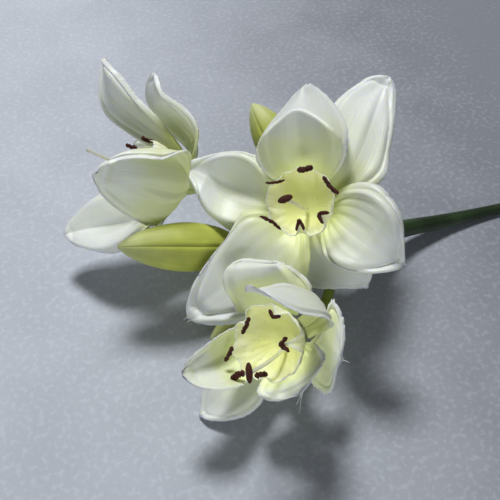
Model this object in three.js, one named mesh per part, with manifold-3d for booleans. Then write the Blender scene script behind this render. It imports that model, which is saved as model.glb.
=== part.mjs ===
// Amazon lily, a cut stem lying on its side: three open flowers and three buds on one umbel.
// Millimetres, +Z up. The origin is on the surface that the stem lies on, under the middle.

import * as THREE from 'three';
import { mergeVertices } from 'three/addons/utils/BufferGeometryUtils.js';
import Module from 'manifold-3d';

// Driving dimensions

const GAP = 0.3;                       // clearance between neighbouring pieces
const UMBEL = [-86.7, -16.7, 24.3];    // where the stalks leave the stem
const KNOB_RADIUS = 5.8;               // swollen end of the stem that carries the stalks

const STEM_SIDES = 12;
const STEM_STEPS = 30;
const STEM_ROUTE = [                   // from the umbel: x, y, height above the surface, radius
  [3.5, 1.2, 22.8, 4.0], [18, 6.6, 16.6, 4.0], [34, 12.4, 10.4, 3.9], [52, 15.6, 5.6, 3.4],
  [70, 17.4, 3.1, 2.8], [88, 18.2, 2.25, 2.35], [110, 18.4, 2.25, 2.35], [284, 18.4, 2.25, 2.35],
];

const STALK = { umbel: 1.7, flower: 2.5, bud: 2.1, reach: 0.3, steps: 9, sides: 8 };

const TUBE_LENGTH = 20;                // behind the throat, where the petals spring
const TUBE_PROFILE = [                 // radius, distance behind the throat
  [2.5, 19.7], [2.7, 15], [3.6, 9.5], [5.2, 6], [6.2, 3.4], [6.2, 0],
];

const CLAW = { width: 4.3, radius: 6.9, layer: 1.5, back: -3.5, cup: 42 };
const PETAL_THICKNESS = 0.7;
const PETAL_STEPS = 11;                // claw to tip
const PETAL_STATIONS = [-1, -0.86, -0.66, -0.34, 0, 0.34, 0.66, 0.86, 1];
const PETAL_OUTLINE = { swell: 1.3, taper: 1.9, tipWidth: 0.7 };
const MIDRIB_PULL = 0.4;               // how far a midrib keeps its first and last direction
const CUP_FULL = 0.35;                 // shares of the length by which a blade is fully cupped
const ROLL_FULL = 0.5;                 // and its margins are fully rolled
const ROLL_START = 0.62;               // share of the half width where the margin rolls back
const ROLL_PIECES = 10;
const ROLL_CREASE = 1.6;               // how sharply it does
const TIP_BEND = 1.2;                  // how gently the tip bends back
const TIP_STEPS = 0.85;                // closer steps towards the tip
const RUFFLE = { depth: 0.8, waves: 2.3 };
const NORMAL_STEP = 0.01;              // step along and across a blade that gives its slope

const CORONA = { height: 14.4, wall: 0.9, base: 4.6, floor: 1.2, sides: 36, teeth: 6, flare: 0.9 };
const TOOTH = { height: 3.6, halfAngle: 13, anther: [2.6, 0.9, 1.3], antherAt: 0.97 };
const PISTIL = { style: 0.75, stigma: 1.3, stigmaStart: 0.9, steps: 10, sides: 8 };

const GREEN_STEM = { color: 0x2f4a20, roughness: 0.6 };
const GREEN_STALK = { color: 0x7f8f2b, roughness: 0.55 };
const GREEN_TUBE = { color: 0xc9d37a, roughness: 0.55 };
const GREEN_BUD = { color: 0xb4c24a, roughness: 0.45 };
const WHITE_PETAL = { color: 0xf1f4ea, roughness: 0.6 };
const PALE_CORONA = { color: 0xe9edb4, roughness: 0.4 };
const PALE_PISTIL = { color: 0xe8e6c8, roughness: 0.4 };

// Each flower has its throat from the umbel, the way it faces, its pistil's route and six petals.
// A petal's clock is where it springs round the throat. Its tip is at a reach from the flower's
// axis and a rise along it, turned by lean. Tilts are from the axis. Width is half its greatest.
// It is widest at a share of its length, and a low point gives it a blunt tip. Cup bends it across,
// and roll its two margins. Past bend its tip goes back. Twist and turn set the way it faces.

const FLOWERS = [
  {
    name: 'middle', throat: [-18.2, -0.4, 29.4], elevation: 47, heading: -131, rim: 12.2, firstTooth: -12,
    stalkStart: [-0.35, 0.05, 0.94],
    pistil: [[0.8, -1.5, 2.1], [1.2, -1.6, 9], [-0.6, -0.8, 17], [-3.0, -0.2, 23.5]],
    petals: [
      { layer: 0, clock: -20, lean: -1, reach: 40, rise: 11, rootTilt: 29, tipTilt: 70,
        width: 18.5, widest: 0.53, point: 0.7, cup: 55, roll: [70, 70], bend: 0.68, back: 10.5,
        skew: 0.03 },
      { layer: 1, clock: 37, lean: -27, reach: 58, rise: -20.4, rootTilt: 52, tipTilt: 95,
        width: 16.5, widest: 0.37, point: 0.51, cup: 35, roll: [70, 60], bend: 0.74, back: 2,
        skew: -0.27 },
      { layer: 0, clock: 90, lean: 13, reach: 44.5, rise: 11, rootTilt: 35, tipTilt: 118,
        width: 20, widest: 0.49, point: 1.2, cup: 50, roll: [105, 105], bend: 0.62, back: 5.5,
        skew: -0.09 },
      { layer: 1, clock: 150, lean: -21, reach: 37, rise: -19.5, rootTilt: 58, tipTilt: 122,
        width: 16.5, widest: 0.4, point: 0.94, cup: 25, roll: [30, 30], bend: 0.74, back: 0,
        skew: 0.03 },
      { layer: 0, clock: -162, lean: 10, reach: 62, rise: 8.6, rootTilt: 37, tipTilt: 76,
        width: 20, widest: 0.35, point: 0.62, cup: 32, roll: [130, 110], bend: 0.85, back: 4,
        skew: -0.1 },
      { layer: 1, clock: -106, lean: 15, reach: 50, rise: 2.9, rootTilt: 82, tipTilt: 48,
        width: 19, widest: 0.51, point: 0.98, cup: 50, roll: [100, 100], bend: 0.8, back: 8,
        skew: 0.03 },
    ],
  },
  {
    name: 'left', throat: [-59.5, 37.5, 19.1], elevation: 16, heading: 157.5, rim: 11.4, firstTooth: 20,
    stalkStart: [-0.70, 0.62, 0.35],
    pistil: [[0, 0, 2.1], [0, 0, 14], [-1, -2, 28], [-2.3, -1.3, 38.4]],
    petals: [
      { layer: 1, clock: 58, lean: 1, reach: 27, rise: 30.6, rootTilt: 98, tipTilt: 49,
        width: 20, widest: 0.4, point: 0.75, cup: 48, roll: [150, 20], bend: 0.74, back: 0,
        skew: -0.01 },
      { layer: 0, clock: 144, lean: 12, reach: 39, rise: 40.6, rootTilt: 37, tipTilt: 45,
        width: 18.5, widest: 0.56, point: 0.67, cup: 25, roll: [110, 60], bend: 0.74, back: 1,
        twist: -48, skew: -0.22 },
      { layer: 2, clock: 184, lean: -2, reach: 44.86, rise: -0.3, rootTilt: 68, tipTilt: 120,
        width: 14, widest: 0.52, point: 0.95, cup: 40, roll: [50, 50], bend: 0.74, back: 0 },
      { layer: 1, clock: -130, lean: 0, reach: 36, rise: 24, rootTilt: 45, tipTilt: 90,
        width: 13, widest: 0.52, point: 0.95, cup: 40, roll: [50, 50], bend: 0.74, back: 3 },
      { layer: 0, clock: -85, lean: 8, reach: 47, rise: 45.2, rootTilt: 45, tipTilt: 81,
        width: 13, widest: 0.73, point: 0.9, cup: 41, roll: [40, 100], bend: 0.74, back: 2,
        twist: 5, skew: 0.11 },
      { layer: 1, clock: -54, lean: 5, reach: 37, rise: 23.8, rootTilt: 98, tipTilt: 67,
        width: 13.5, widest: 0.36, point: 0.61, cup: 30, roll: [40, 90], bend: 0.74, back: 3,
        twist: 19, skew: -0.3 },
    ],
  },
  {
    name: 'low', throat: [-38.4, -39.3, 5.2], elevation: 40, heading: -148, rim: 13.2, firstTooth: -10,
    stalkStart: [-0.60, -0.75, 0.1],
    pistil: [[1.8, -0.8, 2.1], [3.5, -1.6, 7], [4.8, -4, 17], [4.1, -7.0, 25.8]],
    petals: [
      { layer: 1, clock: -34, lean: -7, reach: 29.5, rise: 6.8, rootTilt: 67, tipTilt: 111,
        width: 17.5, widest: 0.39, point: 0.3, cup: 46, roll: [40, 100], bend: 0.86, back: 4,
        tipClock: -24, skew: -0.1 },
      { layer: 0, clock: 28, lean: -36, reach: 23, rise: 42.3, rootTilt: 87, tipTilt: 53,
        width: 8, widest: 0.73, point: 1.11, cup: 14, roll: [0, 0], bend: 0.74, back: 0,
        turn: -68, tipClock: -116, twist: -27, skew: 0.26 },
      { layer: 1, clock: 88, lean: -11, reach: 22, rise: -3.1, rootTilt: 80, tipTilt: 59,
        width: 17, widest: 0.55, point: 1.3, cup: 0, roll: [20, 20], bend: 0.74, back: 0,
        skew: -0.22, turn: -33 },
      { layer: 0, clock: 111, lean: 7, reach: 20, rise: 10.6, rootTilt: 24, tipTilt: 63,
        width: 16, widest: 0.74, point: 0.33, cup: 40, roll: [0, 0], bend: 0.74, back: 0,
        skew: -0.08 },
      { layer: 1, clock: -156, lean: -7, reach: 45, rise: 6.5, rootTilt: 62, tipTilt: 90,
        width: 12.5, widest: 0.48, point: 0.77, cup: 40, roll: [60, 60], bend: 0.74, back: 0,
        skew: -0.21 },
      { layer: 0, clock: -122, lean: -21, reach: 26, rise: 30.3, rootTilt: 40, tipTilt: 31,
        width: 11.5, widest: 0.56, point: 0.48, cup: 73, roll: [0, 0], bend: 0.74, back: 0,
        skew: -0.3 },
    ],
  },
];

// Each bud has its base and tip from the umbel, its greatest radius and the way its stalk starts.
const BUDS = [
  {
    name: 'left', base: [-41.8, 10.3, 0.5], tip: [-89.6, 12.3, 14.2], radius: 10,
    stalkStart: [-0.93, 0.05, 0.36],
  },
  {
    name: 'top', base: [-12.4, 24.6, 17.2], tip: [-24.3, 53.0, 37.3], radius: 8.6,
    stalkStart: [0.1, 0.75, 0.65],
  },
  {
    name: 'low', base: [-25.6, -7.0, -8.9], tip: [-61.6, -16.3, -20.5], radius: 7,
    stalkStart: [-0.88, -0.25, -0.4],
  },
];
const BUD_PROFILE = [                  // share of the greatest radius, share of the length
  [0.26, 0], [0.55, 0.07], [0.86, 0.22], [1, 0.42], [0.93, 0.6], [0.7, 0.78], [0.38, 0.92], [0.1, 1],
];
const BUD_SIDES = 16;

const wasm = await Module();
wasm.setup();

const degrees = THREE.MathUtils.degToRad;

function mixed(a, b, share) {
  return a + (b - a) * share;
}

function quarterSine(share) {
  return Math.sin((Math.PI / 2) * share);
}

function named(name, geometry, look) {
  const mesh = new THREE.Mesh(geometry, new THREE.MeshStandardMaterial({ ...look, metalness: 0 }));
  mesh.name = name;
  return mesh;
}

function geometryOf(points, faces) {
  const geometry = new THREE.BufferGeometry();
  const numbers = points.flatMap((point) => point.toArray());
  geometry.setAttribute('position', new THREE.Float32BufferAttribute(numbers, 3));
  geometry.setIndex(faces);
  geometry.computeVertexNormals();
  return geometry;
}

// A closed solid through rings of points that all have the same count, with a fan on each end.
function solidFromRings(rings) {
  const count = rings[0].length;
  const last = (rings.length - 1) * count;
  const faces = [];
  for (let a = 0; a < last; a += 1) {
    const b = a % count === count - 1 ? a - count + 1 : a + 1;
    faces.push(a, b, b + count, a, b + count, a + count);
  }
  for (let i = 1; i < count - 1; i += 1) {
    faces.push(0, i + 1, i);
    faces.push(last, last + i, last + i + 1);
  }
  return geometryOf(rings.flat(), faces);
}

// One ring of points round a centre, in the plane of two directions.
function ringRound(centre, right, over, radius, sides, firstAngle) {
  const ring = [];
  for (let i = 0; i < sides; i += 1) {
    const angle = firstAngle + (2 * Math.PI * i) / sides;
    ring.push(centre.clone()
      .addScaledVector(right, radius * Math.cos(angle))
      .addScaledVector(over, radius * Math.sin(angle)));
  }
  return ring;
}

function roundAlong(curve, steps, sides, radiusAt) {
  const frames = curve.computeFrenetFrames(steps, false);
  const rings = [];
  for (let k = 0; k <= steps; k += 1) {
    const share = k / steps;
    rings.push(ringRound(
      curve.getPointAt(share), frames.normals[k], frames.binormals[k], radiusAt(share), sides, 0,
    ));
  }
  return solidFromRings(rings);
}

function solidOf(geometry) {
  const bare = geometry.clone();
  bare.deleteAttribute('normal');
  bare.deleteAttribute('uv');
  const merged = mergeVertices(bare, 1e-4);
  return new wasm.Manifold(new wasm.Mesh({
    numProp: 3,
    vertProperties: merged.attributes.position.array,
    triVerts: new Uint32Array(merged.index.array),
  }));
}

function geometryFromSolid(solid) {
  const mesh = solid.getMesh();
  const geometry = new THREE.BufferGeometry();
  geometry.setAttribute('position', new THREE.BufferAttribute(new Float32Array(mesh.vertProperties), 3));
  geometry.setIndex(Array.from(mesh.triVerts));
  geometry.computeVertexNormals();
  return geometry;
}

// Stem

function stemRadius(share) {
  const place = share * (STEM_ROUTE.length - 1);
  const i = Math.min(Math.floor(place), STEM_ROUTE.length - 2);
  return mixed(STEM_ROUTE[i][3], STEM_ROUTE[i + 1][3], place - i);
}

// A tube of flat sides. Where it lies down, its lowest side is level with the surface.
function stemGeometry() {
  const route = new THREE.CatmullRomCurve3(STEM_ROUTE.map(([x, y, z]) => new THREE.Vector3(x, y, z)));
  const rings = [];
  for (let k = 0; k <= STEM_STEPS; k += 1) {
    const share = (k / STEM_STEPS) ** 1.5;
    const along = route.getTangent(share);
    const level = new THREE.Vector3(-along.y, along.x, 0).normalize();
    const over = new THREE.Vector3().crossVectors(along, level).normalize();
    const centre = route.getPoint(share);
    const ring = ringRound(centre, level, over, stemRadius(share), STEM_SIDES, Math.PI / STEM_SIDES);
    ring.forEach((point) => point.setZ(Math.max(point.z, 0)));
    rings.push(ring);
  }
  return solidFromRings(rings);
}

function makeStem() {
  const knob = new THREE.SphereGeometry(KNOB_RADIUS, 16, 10);
  knob.translate(0, 0, UMBEL[2]);
  const mesh = named('stem', geometryFromSolid(solidOf(stemGeometry()).add(solidOf(knob))), GREEN_STEM);
  mesh.position.set(UMBEL[0], UMBEL[1], 0);
  return mesh;
}

// Stalks from the umbel to the flowers and buds

function makeStalk(name, start, end, endDirection, endRadius) {
  const from = new THREE.Vector3(...start).normalize();
  const reach = end.length() * STALK.reach;
  const curve = new THREE.CubicBezierCurve3(
    from.clone().multiplyScalar(KNOB_RADIUS + GAP),
    from.clone().multiplyScalar(KNOB_RADIUS + GAP + reach),
    end.clone().addScaledVector(endDirection, -reach),
    end,
  );
  const radiusAt = (share) => mixed(STALK.umbel, endRadius, share);
  return named(name, roundAlong(curve, STALK.steps, STALK.sides, radiusAt), GREEN_STALK);
}

function makeFlowerStalk(flower) {
  const axis = flowerAxis(flower);
  const end = new THREE.Vector3(...flower.throat).addScaledVector(axis, -TUBE_LENGTH);
  return makeStalk(`flower_stalk_${flower.name}`, flower.stalkStart, end, axis, STALK.flower);
}

function makeBudStalk(bud) {
  const base = new THREE.Vector3(...bud.base);
  const along = new THREE.Vector3(...bud.tip).sub(base).normalize();
  const end = base.addScaledVector(along, -GAP);
  return makeStalk(`bud_stalk_${bud.name}`, bud.stalkStart, end, along, STALK.bud);
}

// Flowers

function flowerAxis(flower) {
  const lift = degrees(flower.elevation);
  const turn = degrees(flower.heading);
  return new THREE.Vector3(
    Math.cos(lift) * Math.cos(turn), Math.cos(lift) * Math.sin(turn), Math.sin(lift),
  );
}

// The flower's own frame: z out of its mouth, y its highest way up, x to the right from the front.
function placeFlower(group, flower) {
  const out = flowerAxis(flower);
  const up = new THREE.Vector3(0, 0, 1).addScaledVector(out, -out.z).normalize();
  const across = new THREE.Vector3().crossVectors(up, out);
  group.position.set(...flower.throat);
  group.quaternion.setFromRotationMatrix(new THREE.Matrix4().makeBasis(across, up, out));
}

function makeTube(flower) {
  const outline = TUBE_PROFILE.map(([radius, back]) => new THREE.Vector2(radius, -back));
  outline.unshift(new THREE.Vector2(0, outline[0].y));
  outline.push(new THREE.Vector2(0, 0));
  const geometry = new THREE.LatheGeometry(outline, 20);
  geometry.rotateX(Math.PI / 2);
  return named(`flower_tube_${flower.name}`, geometry, GREEN_TUBE);
}

// Half width of a petal, as a share of its greatest, from the claw at 0 to the tip at 1.
function petalWidth(petal, share) {
  const { swell, taper, tipWidth } = PETAL_OUTLINE;
  if (share < petal.widest) {
    return mixed(CLAW.width / petal.width, 1, quarterSine(share / petal.widest) ** swell);
  }
  const past = (share - petal.widest) / (1 - petal.widest);
  return Math.max((1 - past ** taper) ** petal.point, tipWidth / petal.width);
}

function onClock(angle) {
  return new THREE.Vector3(Math.sin(degrees(angle)), Math.cos(degrees(angle)), 0);
}

function tilted(angle, tilt) {
  return onClock(angle).multiplyScalar(Math.sin(degrees(tilt))).setZ(Math.cos(degrees(tilt)));
}

// The petal's midrib, a curve from its claw beside the tube to its tip.
function midrib(petal) {
  const clawRadius = CLAW.radius + CLAW.layer * petal.layer;
  const claw = onClock(petal.clock).multiplyScalar(clawRadius).setZ(CLAW.back);
  const tipClock = petal.clock + petal.lean;
  const tip = onClock(tipClock).multiplyScalar(petal.reach).setZ(petal.rise);
  const pull = claw.distanceTo(tip) * MIDRIB_PULL;
  return new THREE.CubicBezierCurve3(
    claw,
    claw.clone().addScaledVector(tilted(petal.clock, petal.rootTilt), pull),
    tip.clone().addScaledVector(tilted(petal.tipClock ?? tipClock, petal.tipTilt), -pull),
    tip,
  );
}

// How far a point across the blade lies to the side and towards its inner face. The blade keeps
// its width as it bends: it cups inwards, and its margins roll back.
function acrossBlade(station, width, cup, roll) {
  const piece = (Math.abs(station) * width) / ROLL_PIECES;
  let aside = 0;
  let inward = 0;
  for (let i = 0; i < ROLL_PIECES; i += 1) {
    const at = (Math.abs(station) * (i + 0.5)) / ROLL_PIECES;
    const rolled = Math.min((ROLL_CREASE * Math.max(at - ROLL_START, 0)) / (1 - ROLL_START), 1);
    const slope = degrees(cup * Math.min(at, ROLL_START) - roll * rolled);
    aside += piece * Math.cos(slope);
    inward += piece * Math.sin(slope);
  }
  return [Math.sign(station) * aside, inward];
}

// The way that the petal's inner face looks, before any twist.
function facingAt(petal, along, share) {
  const radial = onClock(petal.clock + (petal.turn ?? petal.lean) * share);
  const tilt = Math.atan2(along.dot(radial), along.z);
  return radial.multiplyScalar(-Math.cos(tilt)).setZ(Math.sin(tilt));
}

// How far the blade stands towards its inner face beyond its cupped section: the ruffled
// margins, less the tip that bends back.
function relief(petal, share, station) {
  const ruffle = RUFFLE.depth * Math.abs(station) ** 3 * share
    * Math.sin(2 * Math.PI * (RUFFLE.waves * share + petal.clock / 90) + Math.sign(station));
  const past = Math.max(share - petal.bend, 0) / (1 - petal.bend);
  return ruffle - petal.back * past ** TIP_BEND;
}

function bladePoint(petal, curve, share, station) {
  const along = curve.getTangent(share);
  const side = new THREE.Vector3().crossVectors(along, facingAt(petal, along, share)).normalize();
  side.applyAxisAngle(along, degrees((petal.twist ?? 0) * quarterSine(share)));
  const inside = new THREE.Vector3().crossVectors(side, along);
  const cup = mixed(CLAW.cup, petal.cup, Math.min(share / CUP_FULL, 1));
  const roll = petal.roll[station > 0 ? 1 : 0] * Math.min(share / ROLL_FULL, 1);
  const uneven = 1 + (petal.skew ?? 0) * Math.sign(station) * quarterSine(share);
  const half = petal.width * petalWidth(petal, share) * uneven;
  const [aside, inward] = acrossBlade(station, half, cup, roll);
  return curve.getPoint(share)
    .addScaledVector(side, aside)
    .addScaledVector(inside, inward + relief(petal, share, station));
}

function bladeNormal(petal, curve, share, station) {
  const low = Math.max(share - NORMAL_STEP, 0);
  const high = Math.min(share + NORMAL_STEP, 1);
  const left = Math.max(station - NORMAL_STEP, -1);
  const right = Math.min(station + NORMAL_STEP, 1);
  const along = bladePoint(petal, curve, high, station).sub(bladePoint(petal, curve, low, station));
  const across = bladePoint(petal, curve, share, right).sub(bladePoint(petal, curve, share, left));
  return across.cross(along).normalize();
}

// A petal is a blade of one thickness. Its two faces are split into triangles alike.
function petalGeometry(petal) {
  const curve = midrib(petal);
  const inner = [];
  const outer = [];
  for (let k = 0; k <= PETAL_STEPS; k += 1) {
    const share = (k / PETAL_STEPS) ** TIP_STEPS;
    PETAL_STATIONS.forEach((station) => {
      const point = bladePoint(petal, curve, share, station);
      const half = bladeNormal(petal, curve, share, station).multiplyScalar(PETAL_THICKNESS / 2);
      inner.push(point.clone().add(half));
      outer.push(point.sub(half));
    });
  }
  return geometryOf(inner.concat(outer), bladeFaces());
}

function bladeFaces() {
  const across = PETAL_STATIONS.length;
  const last = across * PETAL_STEPS;
  const back = across + last;
  const faces = [];
  for (let a = 0; a < last; a += 1) {
    if (a % across === across - 1) continue;
    const c = a + across + 1;
    faces.push(a, a + 1, c, a, c, c - 1);
    faces.push(back + a, back + c, back + a + 1, back + a, back + c - 1, back + c);
  }
  const rim = bladeRim(across, last);
  rim.forEach((a, i) => {
    const b = rim[(i + 1) % rim.length];
    faces.push(b, a, back + a, b, back + a, back + b);
  });
  return faces;
}

function bladeRim(across, last) {
  const claw = [];
  const tip = [];
  for (let i = 0; i < across - 1; i += 1) {
    claw.push(i);
    tip.push(last + across - 1 - i);
  }
  const right = [];
  const left = [];
  for (let i = 0; i < last; i += across) {
    right.push(across - 1 + i);
    left.push(last - i);
  }
  return [...claw, ...right, ...tip, ...left];
}

// Corona: a thin cup with six teeth on its rim, and an anther on each tooth

function coronaPoint(flower, angle, share, inset) {
  const apart = 360 / CORONA.teeth;
  const toTooth = Math.abs(((((angle - flower.firstTooth) % apart) + 1.5 * apart) % apart) - apart / 2);
  const height = CORONA.height + TOOTH.height * Math.max(1 - toTooth / TOOTH.halfAngle, 0);
  const radius = mixed(CORONA.base, flower.rim, quarterSine(share) ** CORONA.flare);
  return onClock(angle).multiplyScalar(radius - inset).setZ(GAP + height * share);
}

function coronaRing(flower, share, inset) {
  const ring = [];
  for (let i = 0; i < CORONA.sides; i += 1) {
    ring.push(coronaPoint(flower, (-360 * i) / CORONA.sides, share, inset));
  }
  return ring;
}

function makeCorona(flower) {
  const outside = [0, 0.12, 0.3, 0.55, 0.8, 1].map((share) => coronaRing(flower, share, 0));
  const inside = [1, 0.8, 0.55, 0.3, CORONA.floor / CORONA.height]
    .map((share) => coronaRing(flower, share, CORONA.wall));
  let solid = solidOf(solidFromRings(outside.concat(inside)));
  for (let i = 0; i < CORONA.teeth; i += 1) {
    const angle = flower.firstTooth + (360 * i) / CORONA.teeth;
    const anther = new THREE.SphereGeometry(1, 8, 6);
    anther.scale(...TOOTH.anther);
    anther.rotateZ(-degrees(angle));
    anther.translate(...coronaPoint(flower, angle, TOOTH.antherAt, CORONA.wall / 2).toArray());
    solid = solid.add(solidOf(anther));
  }
  return named(`corona_${flower.name}`, geometryFromSolid(solid), PALE_CORONA);
}

// The pistil stands on the floor of the corona: a slender style with a wider stigma.
function makePistil(flower) {
  const curve = new THREE.CatmullRomCurve3(flower.pistil.map((p) => new THREE.Vector3(...p)));
  const radiusAt = (share) => (share > PISTIL.stigmaStart ? PISTIL.stigma : PISTIL.style);
  const geometry = roundAlong(curve, PISTIL.steps, PISTIL.sides, radiusAt);
  return named(`pistil_${flower.name}`, geometry, PALE_PISTIL);
}

function makeFlower(flower) {
  const group = new THREE.Group();
  placeFlower(group, flower);
  group.add(makeTube(flower), makeCorona(flower), makePistil(flower));
  flower.petals.forEach((petal, i) => {
    group.add(named(`petal_${flower.name}_${i + 1}`, petalGeometry(petal), WHITE_PETAL));
  });
  return group;
}

// Buds

function makeBud(bud) {
  const base = new THREE.Vector3(...bud.base);
  const along = new THREE.Vector3(...bud.tip).sub(base);
  const length = along.length();
  const outline = BUD_PROFILE.map(
    ([radius, share]) => new THREE.Vector2(radius * bud.radius, share * length),
  );
  outline.unshift(new THREE.Vector2(0, 0));
  outline.push(new THREE.Vector2(0, length));
  const mesh = named(`bud_${bud.name}`, new THREE.LatheGeometry(outline, BUD_SIDES), GREEN_BUD);
  mesh.position.copy(base);
  mesh.quaternion.setFromUnitVectors(new THREE.Vector3(0, 1, 0), along.normalize());
  return mesh;
}

// The whole cut stem

function makeLily() {
  const head = new THREE.Group();
  head.position.set(...UMBEL);
  FLOWERS.forEach((flower) => head.add(makeFlowerStalk(flower), makeFlower(flower)));
  BUDS.forEach((bud) => head.add(makeBudStalk(bud), makeBud(bud)));
  const lily = new THREE.Group();
  lily.add(makeStem(), head);
  return lily;
}

export default makeLily();
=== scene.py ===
from math import atan2, cos, pi, radians, sin

import bmesh
import bpy
from bpy.props import FloatProperty, FloatVectorProperty, IntProperty, PointerProperty
from mathutils import Matrix, Quaternion, Vector
from mathutils.noise import noise


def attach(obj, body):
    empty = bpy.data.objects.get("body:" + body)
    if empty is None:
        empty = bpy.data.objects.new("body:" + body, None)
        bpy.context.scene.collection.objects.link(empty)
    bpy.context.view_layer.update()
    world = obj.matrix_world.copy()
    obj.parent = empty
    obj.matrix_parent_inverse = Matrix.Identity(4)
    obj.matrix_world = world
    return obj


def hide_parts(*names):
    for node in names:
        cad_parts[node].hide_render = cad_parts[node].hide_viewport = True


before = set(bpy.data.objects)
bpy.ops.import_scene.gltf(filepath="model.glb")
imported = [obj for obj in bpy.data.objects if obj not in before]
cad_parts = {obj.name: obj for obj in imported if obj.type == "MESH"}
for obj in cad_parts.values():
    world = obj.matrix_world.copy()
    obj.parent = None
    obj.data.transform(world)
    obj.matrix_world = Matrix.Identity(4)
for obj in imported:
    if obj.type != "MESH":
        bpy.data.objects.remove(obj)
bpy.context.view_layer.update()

bl_info = {
    "name": "Amazon lily",
    "version": (1, 0, 0),
    "blender": (4, 5, 0),
    "location": "View3D > Sidebar > Lily",
    "description": "Builds a cut stem of a white lily with open flowers and buds, and its studio",
    "category": "Add Mesh",
}

MM = 0.001

# Driving dimensions, in millimetres and degrees, as in the part's source. A petal's fold, pleats, hem,
# ridge and torn are the scene's own. The middle flower's fifth petal rolls back less than the solid.
# A petal's clock is its claw's angle, clockwise from the top as seen from the front. Its tip lies lean
# further round, at a reach from the axis and a rise above the throat. Tilts are away from the axis.
# Width is half the greatest width, at the share widest. Roll is for each margin. Past the share bend the
# tip goes back. A fold has a share, an arch and a lean forward. Pleats have a number and a height, a hem
# a width and a depth.

UMBEL = Vector((-86.7, -16.7, 24.3))
KNOB_RADIUS = 5.8
KNOB_UV_SCALE = 20
GAP = 0.3
TUBE_LENGTH = 20
TUBE_PROFILE = [(2.5, 19.7), (2.7, 15), (3.6, 9.5), (5.2, 6), (6.2, 3.4), (6.2, 0)]
STALK = dict(umbel=1.7, flower=2.5, bud=2.1, reach=0.3, rooted=0.6)
STEM_ROUTE = [
    (3.5, 1.2, 22.8, 4.0), (18, 6.6, 16.6, 4.0), (34, 12.4, 10.4, 3.9), (52, 15.6, 5.6, 3.4),
    (70, 17.4, 3.1, 2.8), (88, 18.2, 2.25, 2.35), (110, 18.4, 2.25, 2.35), (284, 18.4, 2.25, 2.35),
]
CLAW = dict(width=4.3, radius=6.9, layer=1.5, back=-3.5, cup=42)
OUTLINE = dict(swell=1.3, taper=1.9, tip_width=0.7)
MIDRIB_PULL = 0.4
CUP_FULL = 0.35
ROLL_FULL = 0.5
ROLL_START = 0.62
ROLL_PIECES = 10
ROLL_CREASE = 3
TIP_BEND = 1.2
USUAL_BEND = 0.74
RUFFLE = dict(depth=0.8, waves=2.3)
CORONA = dict(height=14.4, base=4.6, floor=1.2, flare=0.9)
TOOTH_HALF_ANGLE = 13

# How the fine pieces go beyond the solids: millimetres, numbers of waves, scales and powers

ROLL_END = 1.04
ROLL_FADE = 0.14
FOLD = dict(lean_power=1.4, margin=0.5)
PLEATS = dict(usual=(6.5, 0.2), fade=1.55, fan=4.6, drift=0.8, uneven=1.6, narrow_waves=15, narrow=0.25)
KEEL = dict(depth=0.6, half=0.16)
RIDGE = dict(margin=0.8, power=0.6)
HEM = dict(usual=(2.6, 0.35), crest=0.4, crest_half=0.55, groove_half=0.45, start=2.2)
DENT = dict(across=1.8, along=3.6, by_clock=0.13)
TEAR = dict(usual=0.025, waves=42, power=20)
EDGE_THINNED = 0.6
CUP_FLOOR = dict(share=0.2, lift=0.8)
CRUMPLE = dict(scale=2.2, along=1.6, height=1.6, radius=1.3)
WRINKLE = dict(scale=2.6, along=2, radius=0.8)
RIM = dict(short=0.7, under_anther=0.4)
ANTHER = dict(curl_power=1.5, blunt_power=5, slim=0.88, plain=0.92, thinnest=0.08)
POLLEN = dict(scale=1.3, along=1.7)
PAD_FLAT = 0.8
STYLE_SWELL = 0.3
COLLAR = dict(at=0.985, half=0.02, height=0.35)
SEAM = dict(count=3, depth=0.07, half=0.16)
THREAD = dict(behind=0.08, inwards=0.9, rooted=0.1, sag=0.4, curl=0.9, radius=(0.16, 0.05))

FLOWERS = {
    "middle": dict(
        throat=(-18.2, -0.4, 29.4), elevation=47, heading=-131, rim=12.2, stalk_start=(-0.35, 0.05, 0.94),
        pistil=[(0.8, -1.5, 2.1), (1.2, -1.6, 9), (-0.6, -0.8, 17), (-3.0, -0.2, 23.5)],
    ),
    "left": dict(
        throat=(-59.5, 37.5, 19.1), elevation=16, heading=157.5, rim=11.4, stalk_start=(-0.70, 0.62, 0.35),
        pistil=[(0, 0, 2.1), (0, 0, 14), (-1, -2, 28), (-2.3, -1.3, 38.4)],
    ),
    "low": dict(
        throat=(-38.4, -39.3, 5.2), elevation=40, heading=-148, rim=13.2, stalk_start=(-0.60, -0.75, 0.1),
        pistil=[(1.8, -0.8, 2.1), (3.5, -1.6, 7), (4.8, -4, 17), (4.1, -7.0, 25.8)],
    ),
}

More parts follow.
